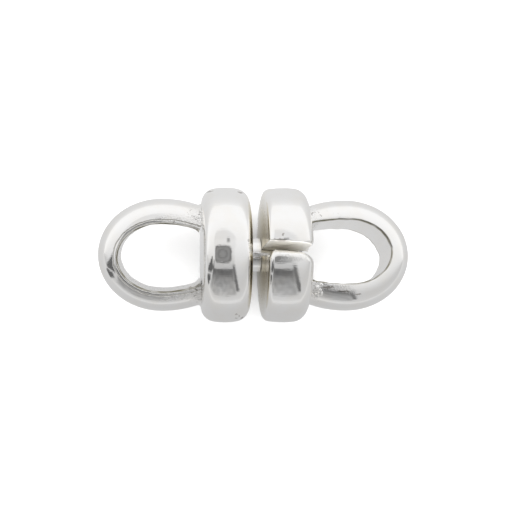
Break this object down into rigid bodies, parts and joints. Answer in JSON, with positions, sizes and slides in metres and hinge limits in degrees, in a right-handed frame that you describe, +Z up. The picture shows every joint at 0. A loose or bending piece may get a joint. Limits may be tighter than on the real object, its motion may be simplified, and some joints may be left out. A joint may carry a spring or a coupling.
{
  "type": "swivel connector",
  "caption": "Polished silver swivel connector: thick crowned discs on a headed pin, one of them slotted, each with an oval eye for a cord or link, turning freely.",
  "frame": {"origin": "on the surface that the piece lies on, under the middle of the gap between the two discs", "axes": "+X along the swivel axis from the plain half to the split half, +Z up from the surface, +Y across the eyes"},
  "size_m": [0.024, 0.0104, 0.0104],
  "materials": {
    "polished_silver": "polished sterling silver",
    "turned_silver": "turned and lightly polished sterling silver"
  },
  "bodies": {
    "plain_side": {"plain_half": "polished_silver", "swivel_pin": "turned_silver"},
    "split_side": {"split_half": "polished_silver"}
  },
  "joints": [
    {"name": "swivel", "type": "hinge", "parent": "plain_side", "child": "split_side", "pos_m": [0.0015, 0, 0.0052], "axis": [1, 0, 0], "continuous": true}
  ]
}
